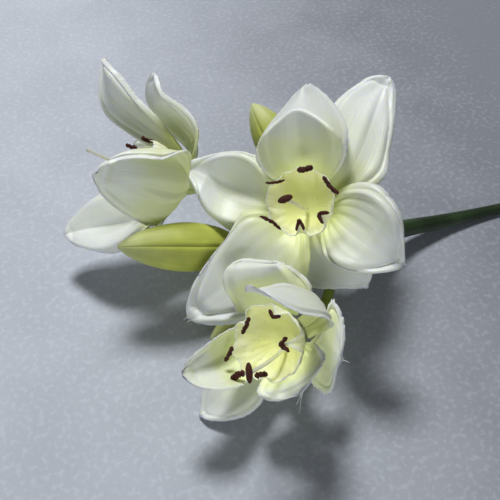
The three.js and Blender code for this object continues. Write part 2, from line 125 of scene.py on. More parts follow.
PETALS = {
    "middle": [
        dict(layer=0, clock=-20, lean=-1, reach=40, rise=11, tilts=(29, 70), width=18.5, widest=0.53,
             point=0.7, cup=55, roll=(70, 70), bend=0.68, back=10.5, skew=0.03, fold=(0.85, 0.38, 5.0),
             pleats=(5, 0.04), hem=(2.0, 0.3)),
        dict(layer=1, clock=37, lean=-27, reach=58, rise=-20.4, tilts=(52, 95), width=16.5, widest=0.37,
             point=0.51, cup=35, roll=(70, 60), back=2, skew=-0.27, pleats=(5, 0.05), hem=(3.4, 0.6),
             ridge=0.22),
        dict(layer=0, clock=90, lean=13, reach=44.5, rise=11, tilts=(35, 118), width=20, widest=0.49,
             point=1.2, cup=50, roll=(105, 105), bend=0.62, back=5.5, skew=-0.09, pleats=(9, 0.34),
             hem=(4.8, 0.9)),
        dict(layer=1, clock=150, lean=-21, reach=37, rise=-19.5, tilts=(58, 122), width=16.5, widest=0.4,
             point=0.94, cup=25, roll=(30, 30), skew=0.03, torn=0.08),
        dict(layer=0, clock=-162, lean=10, reach=62, rise=8.6, tilts=(37, 76), width=20, widest=0.35,
             point=0.62, cup=32, roll=(40, 110), bend=0.85, back=4, skew=-0.1, pleats=(5, 0.12),
             hem=(5.2, 1.3)),
        dict(layer=1, clock=-106, lean=15, reach=50, rise=2.9, tilts=(82, 48), width=19, widest=0.51,
             point=0.98, cup=50, roll=(100, 100), bend=0.8, back=8, skew=0.03, pleats=(8, 0.12),
             hem=(3.2, 0.6), ridge=-0.3),
    ],
    "left": [
        dict(layer=1, clock=58, lean=1, reach=27, rise=30.6, tilts=(98, 49), width=20, widest=0.4,
             point=0.75, cup=48, roll=(150, 20), skew=-0.01, pleats=(4, 0.7), hem=(3.0, 0.5)),
        dict(layer=0, clock=144, lean=12, reach=39, rise=40.6, tilts=(37, 45), width=18.5, widest=0.56,
             point=0.67, cup=25, roll=(110, 60), back=1, twist=-48, skew=-0.22, pleats=(5, 0.05),
             hem=(2.0, 0.25), ridge=-0.4),
        dict(layer=2, clock=184, lean=-2, reach=44.86, rise=-0.3, tilts=(68, 120), width=14, widest=0.52,
             point=0.95, cup=40, roll=(50, 50)),
        dict(layer=1, clock=-130, lean=0, reach=36, rise=24, tilts=(45, 90), width=13, widest=0.52,
             point=0.95, cup=40, roll=(50, 50), back=3),
        dict(layer=0, clock=-85, lean=8, reach=47, rise=45.2, tilts=(45, 81), width=13, widest=0.73,
             point=0.9, cup=41, roll=(40, 100), back=2, twist=5, skew=0.11, pleats=(5, 0.06),
             hem=(3.6, 0.7)),
        dict(layer=1, clock=-54, lean=5, reach=37, rise=23.8, tilts=(98, 67), width=13.5, widest=0.36,
             point=0.61, cup=30, roll=(40, 90), back=3, twist=19, skew=-0.3, pleats=(5, 0.06)),
    ],
    "low": [
        dict(layer=1, clock=-34, lean=-7, reach=29.5, rise=6.8, tilts=(67, 111), width=17.5, widest=0.39,
             point=0.3, cup=46, roll=(40, 100), bend=0.86, back=4, tip_clock=-24, skew=-0.1,
             pleats=(5, 0.1), hem=(2.4, 0.5)),
        dict(layer=0, clock=28, lean=-36, reach=23, rise=42.3, tilts=(87, 53), width=8, widest=0.73,
             point=1.11, cup=14, roll=(0, 0), turn=-68, tip_clock=-116, twist=-27, skew=0.26,
             pleats=(5, 0.08)),
        dict(layer=1, clock=88, lean=-11, reach=22, rise=-3.1, tilts=(80, 59), width=17, widest=0.55,
             point=1.3, cup=0, roll=(20, 20), skew=-0.22, turn=-33, torn=0.1, hem=(3.0, 0.7)),
        dict(layer=0, clock=111, lean=7, reach=20, rise=10.6, tilts=(24, 63), width=16, widest=0.74,
             point=0.33, cup=40, roll=(0, 0), skew=-0.08, torn=0.07),
        dict(layer=1, clock=-156, lean=-7, reach=45, rise=6.5, tilts=(62, 90), width=12.5, widest=0.48,
             point=0.77, cup=40, roll=(60, 60), skew=-0.21, pleats=(5, 0.08), ridge=-0.1),
        dict(layer=0, clock=-122, lean=-21, reach=26, rise=30.3, tilts=(40, 31), width=11.5, widest=0.56,
             point=0.48, cup=73, roll=(0, 0), skew=-0.3, pleats=(5, 0.08), ridge=-0.15),
    ],
}

# How far the pale yellow-green spreads over each petal: partly the petals' own colour and partly painted
# glow, for warm light that shines through the thin petals and bounces between them, set petal by petal
TINTS_AND_GLOW = {
    "middle": (1.0, 0.3, 0.35, 0.4, 0.35, 0.4),
    "left": (0.9, 0.1, 0.5, 0.6, 0.35, 0.5),
    "low": (1.9, 0.4, 1.3, 1.9, 0.5, 2.6),
}

BUDS = {
    "left": dict(base=(-41.8, 10.3, 0.5), tip=(-89.6, 12.3, 14.2), radius=10, spin=-70,
                 stalk_start=(-0.93, 0.05, 0.36)),
    "top": dict(base=(-12.4, 24.6, 17.2), tip=(-24.3, 53.0, 37.3), radius=8.6, spin=40,
                stalk_start=(0.1, 0.75, 0.65)),
    "low": dict(base=(-25.6, -7.0, -8.9), tip=(-61.6, -16.3, -20.5), radius=7, spin=0,
                stalk_start=(-0.88, -0.25, -0.4)),
}
BUD_PROFILE = [
    (0.26, 0), (0.55, 0.07), (0.86, 0.22), (1, 0.42), (0.93, 0.6), (0.7, 0.78), (0.38, 0.92), (0.1, 1),
]

# Anthers by flower, each at the tip of a tooth of the cup: clock, reach from the axis, rise, half
# length, thickness, turn about the axis, lift towards it, and arch, how far out its two ends lie
ANTHERS = {
    "middle": [
        (-6, 11.5, 17.5, 2.9, 1.15, 22, 0, 0.5), (45, 12.4, 17.0, 4.2, 0.85, 14, 0, 0.6),
        (101, 8.6, 16.5, 2.2, 0.8, 0, 0, 3.0), (157, 6.4, 16.5, 1.4, 0.65, 0, 0, 3.6),
        (-145, 11.4, 17.5, 4.6, 0.7, 22, 0, 0.8), (-66, 10.4, 17.5, 3.6, 0.55, -40, 0, 0.6),
    ],
    "left": [
        (-44, 11.0, 16.4, 2.8, 0.9, 0, 90, 0.5), (-95, 10.6, 22.4, 2.6, 0.9, 0, 90, 0.4),
        (16, 10.6, 17.2, 2.4, 0.9, 0, 0, 0.5), (76, 10.8, 17.2, 2.4, 0.9, 8, 0, 0.5),
        (136, 10.6, 17.0, 2.4, 0.9, 0, 0, 0.5), (-156, 10.8, 17.4, 2.6, 0.9, -8, 0, 0.5),
    ],
    "low": [
        (-7, 10.6, 16.8, 2.4, 0.75, 0, 0, 1.6), (56, 6.9, 16.0, 2.4, 0.9, 6, 0, 2.6),
        (152, 10.1, 17.0, 2.5, 1.15, 15, 0, 0.6), (-171, 14.2, 17.5, 3.2, 1.2, 66, 0, 1.0),
        (-138, 13.6, 17.5, 3.2, 0.85, -48, 0, 0.3), (-78, 8.6, 17.0, 3.4, 0.85, 16, 0, 0.4),
    ],
}

# Stigmas by flower: half length, half width, turn about the axis, material and slot
STIGMAS = {
    "middle": (2.75, 1.3, 38, "anther_brown", "anther_brown"),
    "left": (0.9, 0.9, 0, "pistil_style", "pistil_pale"),
    "low": (3.5, 1.25, 124, "anther_brown", "anther_brown"),
}

# Loose threads at frayed margins: flower, petal, share of its length, station, length
FRAYS = [
    ("middle", 5, 0.99, 0.3, 3.4), ("middle", 5, 0.985, -0.5, 2.2), ("low", 4, 0.99, -0.4, 7.5),
    ("low", 4, 0.98, -0.55, 6.0), ("low", 4, 0.985, -0.2, 4.0), ("low", 3, 0.99, 0.2, 2.4),
    ("left", 5, 0.80, 0.98, 1.8), ("low", 5, 0.985, 0.6, 1.6),
]


def mixed(a, b, share):
    return a + (b - a) * share


def quarter_sine(share):
    return sin(pi / 2 * share)


def beyond(share, start):
    """How far a share is past a start: 0 up to it, and 1 at the end."""
    return max(share - start, 0) / (1 - start)


def rough(spot, scale, height):
    """Random relief at a spot, finer at a larger scale."""
    return height * noise(spot * scale)


def ribs(angle, count, depth, turn=0):
    """The share of its radius that a ribbed piece has at an angle."""
    return 1 + depth * sin(angle * count + turn)


def through(points, share):
    """The place at a share of a smooth line through points, with even spacing by number."""
    last = len(points) - 1
    place = min(max(share, 0), 1) * last
    i = min(int(place), last - 1)
    t = place - i
    p0, p1, p2, p3 = (Vector(points[min(max(k, 0), last)]) for k in (i - 1, i, i + 1, i + 2))
    return 0.5 * ((2 * p1) + (p2 - p0) * t + (2 * p0 - 5 * p1 + 4 * p2 - p3) * t * t
                  + (3 * p1 - p0 - 3 * p2 + p3) * t ** 3)


def bezier(p0, p1, p2, p3, t):
    s = 1 - t
    return p0 * s ** 3 + p1 * (3 * s * s * t) + p2 * (3 * s * t * t) + p3 * t ** 3


def slope_of(line, share, step=0.004):
    """The direction of a line, a function of a share, at a share."""
    return (line(min(share + step, 1)) - line(max(share - step, 0))).normalized()


# Meshes


def draw_sheet(name, place, across, along, wrap=False, caps=False):
    """A grid whose corners move to place(u, v). It keeps u and v as its UV map."""
    shape = bmesh.new()
    bmesh.ops.create_grid(shape, x_segments=across, y_segments=along, size=0.5)
    uv = shape.loops.layers.uv.new("UVMap")
    for face in shape.faces:
        for corner in face.loops:
            corner[uv].uv = (corner.vert.co.x + 0.5, corner.vert.co.y + 0.5)
    for vert in shape.verts:
        vert.co = place(vert.co.x + 0.5, vert.co.y + 0.5) * MM
    if wrap:
        bmesh.ops.remove_doubles(shape, verts=shape.verts, dist=1e-6)
        bmesh.ops.dissolve_degenerate(shape, edges=shape.edges, dist=1e-7)
    if caps:
        bmesh.ops.holes_fill(shape, edges=[e for e in shape.edges if e.is_boundary])
    if wrap:
        bmesh.ops.recalc_face_normals(shape, faces=shape.faces)
    return finished(name, shape)


def finished(name, shape):
    mesh = bpy.data.meshes.new(name)
    shape.to_mesh(mesh)
    shape.free()
    mesh.polygons.foreach_set("use_smooth", [True] * len(mesh.polygons))
    piece = bpy.data.objects.new(name, mesh)
    bpy.context.scene.collection.objects.link(piece)
    return piece


def thicken(piece, thickness, kept):
    """Gives a sheet its thickness, half to each side. kept(u, v) is the share of it at a place."""
    wall = piece.modifiers.new("Wall", "SOLIDIFY")
    wall.thickness = thickness * MM
    wall.offset = 0
    wall.use_even_offset = False
    group = piece.vertex_groups.new(name="Wall")
    uv = piece.data.uv_layers[0].data
    for loop in piece.data.loops:
        group.add([loop.vertex_index], kept(*uv[loop.index].uv), "REPLACE")
    wall.vertex_group = group.name


def belong(piece, material, slot, *nodes):
    """Gives a piece its material, and lets it ride with the stem and stand in for CAD nodes."""
    piece.data.materials.append(material_named(material))
    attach(piece, "root")
    if nodes:
        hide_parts(*nodes)


# Flower geometry


def flower_axis(flower):
    lift = radians(FLOWERS[flower]["elevation"])
    turn = radians(FLOWERS[flower]["heading"])
    return Vector((cos(lift) * cos(turn), cos(lift) * sin(turn), sin(lift)))


def flower_frame(flower):
    """The flower's own frame: z out of its mouth, y its highest way up."""
    out = flower_axis(flower)
    up = (upwards(1) - out * out.z).normalized()
    turn = Matrix((up.cross(out), up, out)).transposed().to_4x4()
    return Matrix.Translation(UMBEL + Vector(FLOWERS[flower]["throat"])) @ turn


def upwards(height):
    return Vector((0, 0, height))


def on_clock(angle):
    return Vector((sin(radians(angle)), cos(radians(angle)), 0))


def tilted(angle, tilt):
    return on_clock(angle) * sin(radians(tilt)) + upwards(cos(radians(tilt)))


def petal_width(petal, share):
    o = OUTLINE
    widest = petal["widest"]
    if share < widest:
        return mixed(CLAW["width"] / petal["width"], 1, quarter_sine(share / widest) ** o["swell"])
    return max((1 - beyond(share, widest) ** o["taper"]) ** petal["point"], o["tip_width"] / petal["width"])


def midrib(petal):
    """The petal's midrib, as a function of the share of its length."""
    claw = on_clock(petal["clock"]) * (CLAW["radius"] + CLAW["layer"] * petal["layer"])
    claw.z = CLAW["back"]
    tip_clock = petal["clock"] + petal["lean"]
    tip = on_clock(tip_clock) * petal["reach"]
    tip.z = petal["rise"]
    pull = (claw - tip).length * MIDRIB_PULL
    second = claw + tilted(petal["clock"], petal["tilts"][0]) * pull
    third = tip - tilted(petal.get("tip_clock", tip_clock), petal["tilts"][1]) * pull
    return lambda share: bezier(claw, second, third, tip, share)


def across_blade(station, width, cup, roll):
    """How far a point across the blade lies to the side and towards its inner face."""
    piece = abs(station) * width / ROLL_PIECES
    aside = inward = 0
    for i in range(ROLL_PIECES):
        at = abs(station) * (i + 0.5) / ROLL_PIECES
        rolled = min(ROLL_CREASE * beyond(at, ROLL_START), 1)
        slope = radians(cup * min(at, ROLL_START) - roll * rolled)
        aside += piece * cos(slope)
        inward += piece * sin(slope)
    return (aside if station > 0 else -aside), inward


def facing_at(petal, along, share):
    radial = on_clock(petal["clock"] + petal.get("turn", petal["lean"]) * share)
    tilt = atan2(along.dot(radial), along.z)
    return radial * -cos(tilt) + upwards(sin(tilt))


def relief(petal, share, station):
    """How far the blade stands towards its inner face beyond its cupped section."""
    side = (station > 0) - (station < 0)
    wave = sin(2 * pi * (RUFFLE["waves"] * share + petal["clock"] / 90) + side)
    ruffle = RUFFLE["depth"] * abs(station) ** 3 * share * wave
    if "fold" in petal:
        return ruffle + folded(petal, share, station)
    return ruffle - petal.get("back", 0) * beyond(share, petal.get("bend", USUAL_BEND)) ** TIP_BEND


def folded(petal, share, station):
    """A face that leans forward up to an arched fold, past which the tip goes back."""
    at, arch, forward = petal["fold"]
    start = at - arch * station ** 2
    past = max(share - start, 0) / (1 - at)
    lean = forward * min(share / start, 1) ** FOLD["lean_power"]
    return lean - (petal["back"] + forward) * past * (1 - FOLD["margin"] * station ** 2)


def bump_at(value, middle, half):
    """A smooth hump, 1 at its middle and 0 from half its width away."""
    return max(1 - ((value - middle) / half) ** 2, 0) ** 2


def pleats_at(petal, share, station):
    """Pleats that fan out from the throat, broad ones with narrow ones among them."""
    waves, height = petal.get("pleats", PLEATS["usual"])
    start = petal["clock"]
    fan = Vector((station * PLEATS["fan"], share * PLEATS["drift"], start))
    broad = noise(fan) * PLEATS["uneven"] + sin(pi * station * waves + start)
    narrow = sin(pi * station * PLEATS["narrow_waves"] + start) * PLEATS["narrow"]
    return (broad + narrow) * height * sin(pi * min(share * PLEATS["fade"], 1))


def midrib_at(petal, share, station, half):
    """A ridge along the midrib, or a valley where it is negative. Without either, a slight keel."""
    if "ridge" in petal:
        from_margin = RIDGE["margin"] - min(abs(station), RIDGE["margin"])
        return petal["ridge"] * half * from_margin * sin(pi * share) ** RIDGE["power"]
    return -KEEL["depth"] * bump_at(station, 0, KEEL["half"]) * (1 - share)


def hem_at(petal, share, station, half):
    """The pressed hem: a crest along the margin and a groove inside it."""
    width, depth = petal.get("hem", HEM["usual"])
    from_edge = min(half * (1 - abs(station)), petal["reach"] * (1 - share))
    crest = bump_at(from_edge, width * HEM["crest"], width * HEM["crest_half"])
    groove = bump_at(from_edge, width, width * HEM["groove_half"])
    return depth * (crest - groove) * min(share * HEM["start"], 1)


def dents_at(petal, share, station):
    """Dents of the face, creases towards its margins, and threads that stand up at a torn margin."""
    spot = Vector((station * DENT["across"], share * DENT["along"], petal["clock"] * DENT["by_clock"]))
    dent = rough(spot, scale=1, height=1)
    crease = rough(spot, scale=3.4, height=0.45) * station ** 2
    thread = rough(spot, scale=34, height=0.5) * station ** 24
    return (dent + crease + thread) * share


def fine_relief(petal, share, station, half):
    """What a thin pressed petal adds to its smooth shape."""
    pressed = midrib_at(petal, share, station, half) + hem_at(petal, share, station, half)
    return pleats_at(petal, share, station) + pressed + dents_at(petal, share, station)


def unevenness(petal, share, station):
    """How much further than the plain blade a margin reaches: skewed to one side, and torn."""
    side = (station > 0) - (station < 0)
    skewed = 1 + petal.get("skew", 0) * side * quarter_sine(share)
    tear = noise(Vector((station, share * TEAR["waves"], petal["clock"])))
    return skewed * (1 + petal.get("torn", TEAR["usual"]) * tear * abs(station) ** TEAR["power"])


def blade_point(petal, curve, share, station):
    """A point of the petal, at a share from claw to tip and a station from margin to margin."""
    along = slope_of(curve, share)
    side = along.cross(facing_at(petal, along, share)).normalized()
    side = Quaternion(along, radians(petal.get("twist", 0) * quarter_sine(share))) @ side
    inside = side.cross(along)
    cup = mixed(CLAW["cup"], petal["cup"], min(share / CUP_FULL, 1))
    rolled = min(share / ROLL_FULL, 1, (ROLL_END - share) / ROLL_FADE)
    roll = petal["roll"][1 if station > 0 else 0] * rolled
    half = petal["width"] * petal_width(petal, share) * unevenness(petal, share, station)
    aside, inward = across_blade(station, half, cup, roll)
    stands = inward + relief(petal, share, station) + fine_relief(petal, share, station, half)
    return curve(share) + side * aside + inside * stands


# Colour


def hue(name, red, green, blue, note):
    return FloatVectorProperty(
        name=name, description=note, subtype="COLOR", size=3, min=0, max=1, default=(red, green, blue),
    )


class LilySizes(bpy.types.PropertyGroup):
    """Sizes of the fine pieces"""

    petal_across: IntProperty(name="Petal faces across", description="Faces across a petal", default=48)
    petal_along: IntProperty(name="Petal faces along", description="Faces from claw to tip", default=90)
    petal_wall: FloatProperty(name="Petal wall", description="Thickness at the midrib, in mm", default=0.8)
    corona_wall: FloatProperty(name="Corona wall", description="Thickness of the cup, in mm", default=0.7)
    style_radius: FloatProperty(name="Style", description="Radius of the style, in mm", default=0.7)


class LilyColours(bpy.types.PropertyGroup):
    """Colours of the flowers, buds and stem"""

    petal: hue("Petal", 0.86, 0.885, 0.865, "The petals' white")
    # Partly painted glow: this yellow-green also stands in for light that shines through and between the
    # petals
    middle: hue("Petal middle", 0.82, 0.865, 0.55, "Pale yellow-green of a petal's middle")
    throat: hue("Throat", 0.83, 0.875, 0.46, "Yellow-green at the petals' base")
    corona: hue("Corona", 0.88, 0.89, 0.62, "The cup's pale yellow")
    corona_deep: hue("Corona base", 0.80, 0.82, 0.38, "The bottom of the cup")
    corona_rim: hue("Corona rim", 0.84, 0.87, 0.80, "The cup's thin pale rim")
    anther: hue("Anther", 0.060, 0.014, 0.009, "Dark red-brown pollen sacs")
    pollen: hue("Pollen", 0.20, 0.07, 0.04, "Lighter brown in their grain")
    style: hue("Style", 0.78, 0.76, 0.66, "The pistil's style")
    stem: hue("Stem", 0.016, 0.030, 0.011, "The stem's dark green")
    stem_light: hue("Stem lit side", 0.045, 0.085, 0.028, "Paler green in streaks on the stem")
    stalk: hue("Stalk", 0.20, 0.24, 0.035, "The stalks' olive green")
    tube: hue("Tube", 0.60, 0.68, 0.28, "The tube behind each flower")
    bud: hue("Bud", 0.57, 0.61, 0.11, "The buds' lime green")
    bud_seam: hue("Bud seam", 0.24, 0.29, 0.03, "The seams between a bud's petals")
    floor: hue("Floor", 0.64, 0.67, 0.735, "The studio floor")
    # Painted shade: the floor's colour towards its right side, where the light falls off
    floor_painted_shade: hue("Floor shade", 0.25, 0.265, 0.30, "The floor towards its darker side")


def sizes():
    return bpy.context.scene.lily_sizes


def colours():
    return bpy.context.scene.lily_colours


# Materials


def add(tree, kind, **values):
    node = tree.nodes.new(kind)
    for key, value in values.items():
        setattr(node, key, value)
    return node


def feed(tree, target, value):
    if isinstance(value, bpy.types.NodeSocket):
        tree.links.new(value, target)
    elif hasattr(value, "__len__") and len(value) == 3 and target.type == "RGBA":
        target.default_value = (*value, 1)
    else:
        target.default_value = value


def math_of(tree, operation, a, b=0.0, clamp=False):
    node = add(tree, "ShaderNodeMath", operation=operation, use_clamp=clamp)
    feed(tree, node.inputs[0], a)
    feed(tree, node.inputs[1], b)
    return node.outputs[0]


def times(tree, a, b):
    return math_of(tree, "MULTIPLY", a, b)


def plus(tree, a, b):
    return math_of(tree, "ADD", a, b)


def ramp_of(tree, value, over, to=(0, 1)):
    """A smooth step between two numbers, while a value goes over two others."""
    node = add(tree, "ShaderNodeMapRange", interpolation_type="SMOOTHSTEP")
    for i, number in enumerate((value, *over, *to)):
        feed(tree, node.inputs[i], number)
    return node.outputs[0]


def blend_of(tree, share, a, b):
    node = add(tree, "ShaderNodeMix", data_type="RGBA")
    feed(tree, node.inputs[0], share)
    feed(tree, node.inputs[6], a)
    feed(tree, node.inputs[7], b)
    return node.outputs[2]


def uv_parts(tree):
    spot = add(tree, "ShaderNodeUVMap", uv_map="UVMap")
    parts = add(tree, "ShaderNodeSeparateXYZ")
    tree.links.new(spot.outputs[0], parts.inputs[0])
    return parts.outputs[0], parts.outputs[1]


def new_group(name, inputs, outputs):
    tree = bpy.data.node_groups.new(name, "ShaderNodeTree")
    for label, default in inputs:
        socket = tree.interface.new_socket(label, in_out="INPUT", socket_type="NodeSocketFloat")
        socket.default_value = default
    for label in outputs:
        tree.interface.new_socket(label, in_out="OUTPUT", socket_type="NodeSocketFloat")
    return tree, add(tree, "NodeGroupInput"), add(tree, "NodeGroupOutput")


def veins_group():
    """Fine veins that run from the base to the tip, from a piece's UV map."""
    tree, given, made = new_group("Lengthwise veins", [("Across", 40.0), ("Along", 2.0)], ["Height", "Mask"])
    u, v = uv_parts(tree)
    stretched = add(tree, "ShaderNodeCombineXYZ")
    feed(tree, stretched.inputs[0], times(tree, u, given.outputs["Across"]))
    feed(tree, stretched.inputs[1], times(tree, v, given.outputs["Along"]))
    grain = add(tree, "ShaderNodeTexNoise")
    grain.inputs["Scale"].default_value = 1
    grain.inputs["Detail"].default_value = 3
    tree.links.new(stretched.outputs[0], grain.inputs["Vector"])
    feed(tree, made.inputs["Height"], grain.outputs["Fac"])
    feed(tree, made.inputs["Mask"], ramp_of(tree, grain.outputs["Fac"], over=(0.42, 0.62)))
    return tree


def mottle_group():
    """Soft blotches and fine grain, from the place on the object."""
    tree, given, made = new_group("Soft mottle", [("Blotch", 90.0), ("Grain", 1800.0)], ["Blotch", "Grain"])
    place = add(tree, "ShaderNodeTexCoord")
    for label in ("Blotch", "Grain"):
        grain = add(tree, "ShaderNodeTexNoise")
        grain.inputs["Detail"].default_value = 2
        tree.links.new(place.outputs["Object"], grain.inputs["Vector"])
        feed(tree, grain.inputs["Scale"], given.outputs[label])
        feed(tree, made.inputs[label], grain.outputs["Fac"])
    return tree


def group_in(tree, name, **values):
    """The two outputs of a shared group, given its scales."""
    builders = {"Lengthwise veins": veins_group, "Soft mottle": mottle_group}
    node = add(tree, "ShaderNodeGroup")
    node.node_tree = bpy.data.node_groups.get(name) or builders[name]()
    for label, value in values.items():
        feed(tree, node.inputs[label.capitalize()], value)
    return node.outputs


def new_material(name, roughness, specular=0.5, subsurface=0, glow=(1, 1, 0.7), depth=4):
    """A material with its Principled shader. Light glows through it to a depth in millimetres."""
    material = bpy.data.materials.new(name)
    material.use_nodes = True
    tree = material.node_tree
    tree.nodes.clear()
    shader = add(tree, "ShaderNodeBsdfPrincipled")
    shader.inputs["Roughness"].default_value = roughness
    shader.inputs["Specular IOR Level"].default_value = specular
    shader.inputs["Subsurface Weight"].default_value = subsurface
    shader.inputs["Subsurface Radius"].default_value = glow
    shader.inputs["Subsurface Scale"].default_value = depth * MM
    out = add(tree, "ShaderNodeOutputMaterial")
    tree.links.new(shader.outputs[0], out.inputs[0])
    return tree, shader


def cover(tree, shader, colour, height, strength, distance):
    """Gives a shader its colour, and bumps it by a height, over a distance in millimetres."""
    feed(tree, shader.inputs["Base Color"], colour)
    bump = add(tree, "ShaderNodeBump")
    bump.inputs["Strength"].default_value = strength
    bump.inputs["Distance"].default_value = distance * MM
    feed(tree, bump.inputs["Height"], height)
    tree.links.new(bump.outputs[0], shader.inputs["Normal"])


def petal_material():
    """Satin white, yellow-green towards the throat, with fine lengthwise veins. The yellow-green is partly
    the petals' own colour and partly painted glow, for light that shines through the thin petals and bounces
    between them.
    """
    c = colours()
    tree, shader = new_material("petal_satin", roughness=0.4, subsurface=1, glow=(1, 0.95, 0.6), depth=0.6)
    shader.inputs["Sheen Weight"].default_value = 0.15
    u, v = uv_parts(tree)
    vein, streak = group_in(tree, "Lengthwise veins", across=52, along=2)
    blotch, grain = group_in(tree, "Soft mottle", blotch=60, grain=3000)
    # Painted glow: each petal's share of yellow-green, set petal by petal partly for light that shines
    # through and bounces between the petals
    tint_and_glow = add(tree, "ShaderNodeAttribute", attribute_name="tint").outputs["Fac"]
    from_rib = math_of(tree, "ABSOLUTE", math_of(tree, "SUBTRACT", u, 0.5))
    along = plus(tree, v, ramp_of(tree, blotch, over=(0.3, 0.7), to=(-0.06, 0.06)))
    base_share = ramp_of(tree, along, over=(0.08, 0.42), to=(1, 0))
    middle_share = ramp_of(tree, along, over=(0.45, 0.85), to=(1, 0))
    inner_share = ramp_of(tree, from_rib, over=(0.27, 0.45), to=(1, 0))
    spread = plus(tree, 0.08, times(tree, middle_share, inner_share))
    pale = times(tree, math_of(tree, "MINIMUM", spread, 1), tint_and_glow)
    pale = math_of(tree, "MAXIMUM", pale, base_share)
    base = blend_of(tree, pale, c.petal, c.middle)
    base = blend_of(tree, base_share, base, c.throat)
    streaks = times(tree, streak, ramp_of(tree, v, over=(0.1, 0.8), to=(0.25, 0.06)))
    base = blend_of(tree, streaks, base, c.middle)
    weave = plus(tree, vein, times(tree, grain, 0.4))
    cover(tree, shader, base, weave, strength=0.3, distance=0.45)


def corona_material():
    """Pale yellow, deeper down the cup, with a thin pale rim and a few specks of pollen."""
    c = colours()
    tree, shader = new_material(
        "corona_cup", roughness=0.42, specular=0.4, subsurface=1, glow=(1, 0.95, 0.5), depth=0.8,
    )
    v = uv_parts(tree)[1]
    vein, streak = group_in(tree, "Lengthwise veins", across=60, along=1.5)
    blotch, grain = group_in(tree, "Soft mottle", blotch=150, grain=1500)
    along = plus(tree, v, ramp_of(tree, blotch, over=(0.3, 0.7), to=(-0.12, 0.12)))
    base = blend_of(tree, ramp_of(tree, along, over=(0.3, 0.85), to=(1, 0)), c.corona, c.corona_deep)
    base = blend_of(tree, ramp_of(tree, v, over=(0.86, 1), to=(0, 0.7)), base, c.corona_rim)
    base = blend_of(tree, times(tree, streak, 0.12), base, c.corona_deep)
    base = blend_of(tree, ramp_of(tree, grain, over=(0.70, 0.73), to=(0, 0.6)), base, c.pollen)
    crumpled = plus(tree, times(tree, vein, 0.4), blotch)
    cover(tree, shader, base, crumpled, strength=0.45, distance=0.6)


def skin_material(name, light, dark, across=30, roughness=0.45, low=0.35, high=0.65):
    """Plant skin: two greens in lengthwise streaks and blotches."""
    tree, shader = new_material(name, roughness, subsurface=0.12, glow=(0.7, 1, 0.2), depth=2)
    vein = group_in(tree, "Lengthwise veins", across=across, along=3)[0]
    blotch, grain = group_in(tree, "Soft mottle", blotch=110, grain=2400)
    both = plus(tree, times(tree, vein, 0.6), times(tree, blotch, 0.4))
    base = blend_of(tree, ramp_of(tree, both, over=(low, high)), dark, light)
    cover(tree, shader, base, plus(tree, vein, times(tree, grain, 0.25)), strength=0.3, distance=0.4)


def stem_skin():
    c = colours()
    skin_material("stem_skin", c.stem_light, c.stem, across=34, roughness=0.42, low=0.42, high=0.7)


def tube_skin():
    skin_material("tube_skin", colours().tube, colours().stalk, across=24, low=0.2, high=0.6)


def stalk_skin():
    skin_material("stalk_skin", colours().stalk, colours().bud_seam)


def bud_material():
    """Lime green, darker where the closed petals meet."""
    c = colours()
    tree, shader = new_material(
        "bud_skin", roughness=0.5, specular=0.35, subsurface=0.3, glow=(0.8, 1, 0.2), depth=2,
    )
    u, v = uv_parts(tree)
    vein, streak = group_in(tree, "Lengthwise veins", across=60, along=1.6)
    blotch = group_in(tree, "Soft mottle", blotch=70, grain=2400)[0]
    from_seam = math_of(tree, "PINGPONG", times(tree, u, SEAM["count"]), 0.5)
    base = blend_of(tree, ramp_of(tree, v, over=(0.55, 1), to=(0, 0.35)), c.bud, c.petal)
    base = blend_of(tree, ramp_of(tree, blotch, over=(0.4, 0.65), to=(0, 0.3)), base, c.bud_seam)
    base = blend_of(tree, times(tree, streak, 0.15), base, c.bud_seam)
    base = blend_of(tree, ramp_of(tree, from_seam, over=(0, 0.035), to=(0.8, 0)), base, c.bud_seam)
    cover(tree, shader, base, vein, strength=0.25, distance=0.4)


def anther_material():
    """Dark red-brown with the lighter grain of its pollen."""
    tree, shader = new_material("anther_brown", roughness=0.75, specular=0.3)
    grain = group_in(tree, "Soft mottle", blotch=500, grain=3200)[1]
    share = ramp_of(tree, grain, over=(0.4, 0.7), to=(0, 0.5))
    base = blend_of(tree, share, colours().anther, colours().pollen)
    cover(tree, shader, base, grain, strength=0.9, distance=0.5)


def pistil_material():
    """Glassy and pale, with a little of the throat's colour."""
    tree, shader = new_material(
        "pistil_style", roughness=0.2, specular=0.6, subsurface=0.5, glow=(1, 0.9, 0.5), depth=3,
    )
    shader.inputs["Alpha"].default_value = 0.6
    blotch, grain = group_in(tree, "Soft mottle", blotch=200, grain=2200)
    share = ramp_of(tree, blotch, over=(0.35, 0.7), to=(0, 0.45))
    base = blend_of(tree, share, colours().style, colours().throat)
    cover(tree, shader, base, grain, strength=0.2, distance=0.3)


def floor_material():
    """Pale embossed paper, with painted shade that makes it darker to the right, where the light falls off.
    """
    tree, shader = new_material("studio_floor", roughness=0.9, specular=0.2)
    blotch, grain = group_in(tree, "Soft mottle", blotch=22, grain=420)
    place = add(tree, "ShaderNodeTexCoord")
    parts = add(tree, "ShaderNodeSeparateXYZ")
    tree.links.new(place.outputs["Object"], parts.inputs[0])
    # Painted shade: the floor darkens to the right, standing in for the light's falloff
    side = ramp_of(tree, parts.outputs[0], over=(-0.22, 0.06), to=(0.1, 1))
    blotches = ramp_of(tree, blotch, over=(0.3, 0.7), to=(-0.05, 0.08))
    fibres = ramp_of(tree, grain, over=(0.48, 0.68), to=(0.05, -0.12))
    share = math_of(tree, "ADD", side, plus(tree, blotches, fibres), clamp=True)
    base = blend_of(tree, share, colours().floor, colours().floor_painted_shade)
    cover(tree, shader, base, grain, strength=0.3, distance=0.5)


